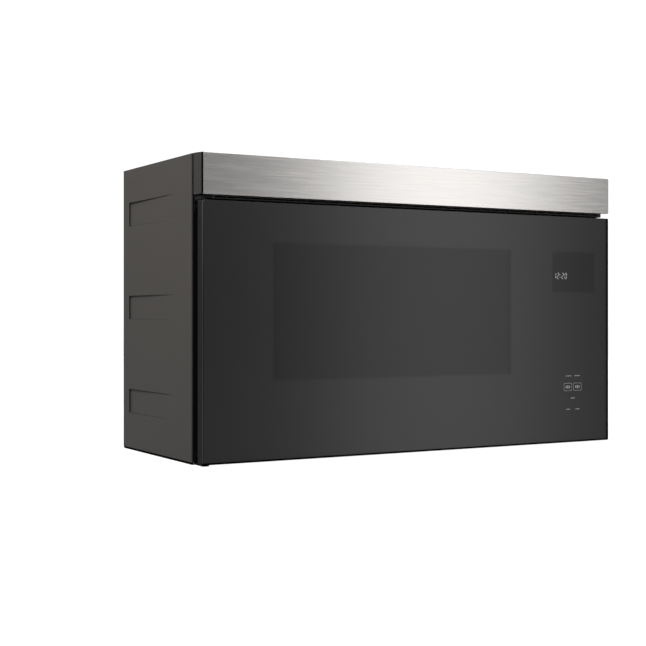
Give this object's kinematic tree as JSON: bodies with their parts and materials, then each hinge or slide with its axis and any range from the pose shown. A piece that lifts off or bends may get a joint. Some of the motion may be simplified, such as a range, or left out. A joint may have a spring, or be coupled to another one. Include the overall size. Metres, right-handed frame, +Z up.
{
  "type": "over the range microwave",
  "caption": "Flush-front microwave oven for hanging over a hob, with a full-width tinted glass door, a brushed vent strip, a flat oven floor and an exhaust blower.",
  "frame": {"origin": "middle of the bottom face of the whole object", "axes": "+Z up, front faces -Y, +X to the right seen from the front"},
  "size_m": [0.762, 0.316, 0.454],
  "materials": {
    "cabinet_paint": "dark warm grey satin powder paint",
    "cap_plastic": "dark grey moulded plastic, satin",
    "brushed_trim": "stainless, brushed along its length",
    "black_plastic": "black moulded plastic",
    "zinc_steel": "bright zinc-coated sheet",
    "face_enamel": "black enamel",
    "oven_enamel": "speckled grey oven enamel",
    "black_steel": "blackened steel",
    "ceramic_plate": "dark glass-ceramic, smooth",
    "aluminium_part": "plain aluminium",
    "iron_core": "varnished laminated iron",
    "bright_steel": "bright plated steel",
    "wheel_plastic": "dark moulded plastic",
    "lamp_part": "milky lens and white socket",
    "mica": "grey-gold mica",
    "circuit_board": "green board with black parts",
    "charcoal": "frame with charcoal bed",
    "tinted_glass": "dark tinted glass, printed black behind, smooth",
    "shell_plastic": "black moulded door pan",
    "screen_metal": "black perforated metal",
    "clear_glass": "clear glass",
    "display_plastic": "smoked display face"
  },
  "bodies": {
    "cabinet": {"back_panel": "zinc_steel", "base_plate": "zinc_steel", "blower_housing": "zinc_steel", "blower_motor": "zinc_steel", "cabinet_screws": "black_steel", "cabinet_wrapper": "cabinet_paint", "cavity_lamp": "lamp_part", "ceramic_floor": "ceramic_plate", "charcoal_filter": "charcoal", "control_board": "circuit_board", "cooktop_light_left": "lamp_part", "cooktop_light_right": "lamp_part", "cord_bushing": "black_plastic", "exhaust_adaptor": "black_plastic", "fan_motor": "zinc_steel", "fan_shroud": "black_plastic", "front_frame": "face_enamel", "hv_capacitor": "aluminium_part", "hv_diode": "iron_core", "hv_transformer": "iron_core", "interlock_switches": "black_plastic", "lamp_cover": "mica", "lower_hinge_bracket": "black_steel", "lower_hinge_pin": "bright_steel", "magnetron": "aluminium_part", "oven_cavity": "oven_enamel", "stirrer_motor": "aluminium_part", "strip_bracket": "cabinet_paint", "strip_end_left": "cap_plastic", "strip_end_right": "cap_plastic", "switch_bracket": "black_plastic", "thermal_cutouts": "aluminium_part", "upper_hinge_bracket": "black_steel", "upper_hinge_pin": "bright_steel", "vent_grille": "black_plastic", "vent_trim_strip": "brushed_trim", "wall_mounting_plate": "zinc_steel", "waveguide": "zinc_steel"},
    "door": {"door_glass": "tinted_glass", "door_shell": "shell_plastic", "choke_frame": "zinc_steel", "door_liner": "shell_plastic", "door_screws": "bright_steel", "window_screen": "screen_metal", "inner_window": "clear_glass", "display_module": "display_plastic", "touch_board": "circuit_board", "latch_spring": "bright_steel"},
    "latch": {"latch_bar": "black_plastic"},
    "stirrer": {"stirrer_antenna": "aluminium_part"},
    "blower": {"blower_shaft": "bright_steel", "blower_wheel_left": "wheel_plastic", "blower_wheel_right": "wheel_plastic"},
    "fan": {"cooling_fan": "wheel_plastic"},
    "damper": {"damper_flap": "zinc_steel"},
    "filter_left": {"grease_filter_left": "aluminium_part"},
    "filter_right": {"grease_filter_right": "aluminium_part"},
    "switch_button_lower": {"plunger_lower": "black_plastic"},
    "switch_button_middle": {"plunger_middle": "black_plastic"},
    "switch_button_upper": {"plunger_upper": "black_plastic"}
  },
  "joints": [
    {"name": "door_hinge", "type": "hinge", "parent": "cabinet", "child": "door", "pos_m": [-0.373, -0.146, 0.19325], "axis": [0, 0, -1], "range_deg": [0, 100]},
    {"name": "latch_lift", "type": "slide", "parent": "door", "child": "latch", "axis": [0, 0, 1], "range_m": [0, 0.004], "stiffness_N_per_m": 300, "springref_m": -0.004, "deforming": ["latch_spring"]},
    {"name": "stirrer_spin", "type": "hinge", "parent": "cabinet", "child": "stirrer", "pos_m": [-0.049, 0.006, 0.088], "axis": [0, 0, 1], "continuous": true},
    {"name": "blower_spin", "type": "hinge", "parent": "cabinet", "child": "blower", "pos_m": [0, 0.084, 0.3923], "axis": [1, 0, 0], "continuous": true},
    {"name": "fan_spin", "type": "hinge", "parent": "cabinet", "child": "fan", "pos_m": [0.298, 0.136, 0.3], "axis": [0, 1, 0], "continuous": true},
    {"name": "damper_hinge", "type": "hinge", "parent": "cabinet", "child": "damper", "pos_m": [0, 0.132, 0.4457], "axis": [-1, 0, 0], "range_deg": [0, 80]},
    {"name": "filter_left_hinge", "type": "hinge", "parent": "cabinet", "child": "filter_left", "pos_m": [-0.205, -0.0725, 0.005], "axis": [-1, 0, 0], "range_deg": [0, 70]},
    {"name": "filter_right_hinge", "type": "hinge", "parent": "cabinet", "child": "filter_right", "pos_m": [0.205, -0.0725, 0.005], "axis": [-1, 0, 0], "range_deg": [0, 70]},
    {"name": "switch_button_lower_slide", "type": "slide", "parent": "cabinet", "child": "switch_button_lower", "axis": [0, -1, 0], "range_m": [0, 0.003]},
    {"name": "switch_button_middle_slide", "type": "slide", "parent": "cabinet", "child": "switch_button_middle", "axis": [0, -1, 0], "range_m": [0, 0.003]},
    {"name": "switch_button_upper_slide", "type": "slide", "parent": "cabinet", "child": "switch_button_upper", "axis": [0, -1, 0], "range_m": [0, 0.003]}
  ],
  "couplings": [
    {"joint": "switch_button_lower_slide", "follows": "door_hinge", "m_per_rad": 0.0017},
    {"joint": "switch_button_middle_slide", "follows": "door_hinge", "m_per_rad": 0.0017},
    {"joint": "switch_button_upper_slide", "follows": "door_hinge", "m_per_rad": 0.0017}
  ]
}
